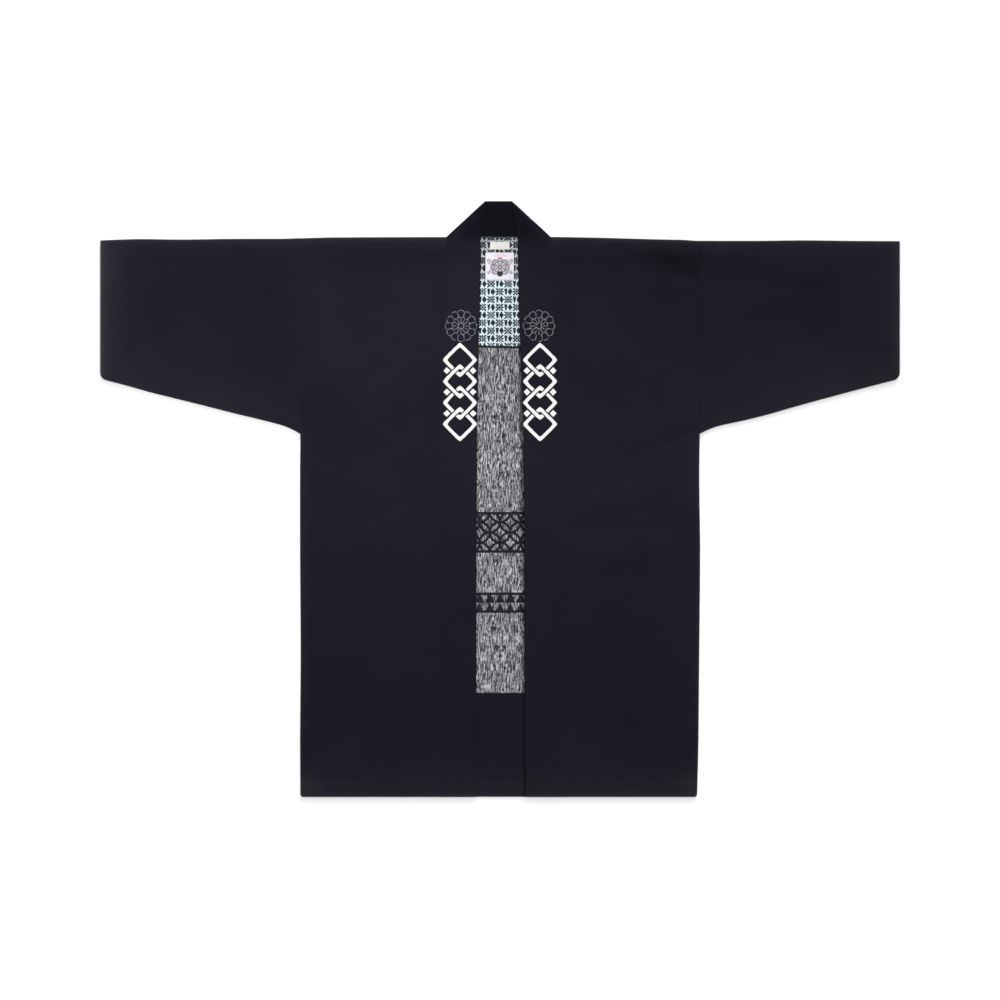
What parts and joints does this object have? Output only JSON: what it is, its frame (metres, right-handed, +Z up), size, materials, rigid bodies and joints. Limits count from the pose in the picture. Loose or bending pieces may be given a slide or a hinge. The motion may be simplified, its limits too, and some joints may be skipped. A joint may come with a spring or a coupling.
{
  "type": "happi coat laid flat",
  "caption": "Straight short festival coat laid flat face up, with wide sleeves and a long straight collar open down the front.",
  "frame": {"origin": "middle of the coat's outline, on the surface that it lies on", "axes": "+X along the sleeves to the right as the coat lies face up, +Y from the hem to the collar, +Z up out of the surface"},
  "size_m": [1.2496, 0.9319, 0.0069],
  "materials": {
    "body_cotton": "matt near-black navy cotton",
    "collar_cotton": "matt near-black navy cotton, folded double",
    "facing_print": "pale blue cotton with a small dark repeat",
    "cream_label": "cream woven tape",
    "white_label": "white satin tape"
  },
  "bodies": {
    "root": {"back": "body_cotton", "front_left": "body_cotton", "front_right": "body_cotton", "sleeve_left": "body_cotton", "sleeve_right": "body_cotton", "collar": "collar_cotton", "neck_facing": "facing_print", "label_small": "cream_label", "label_large": "white_label"}
  },
  "joints": []
}
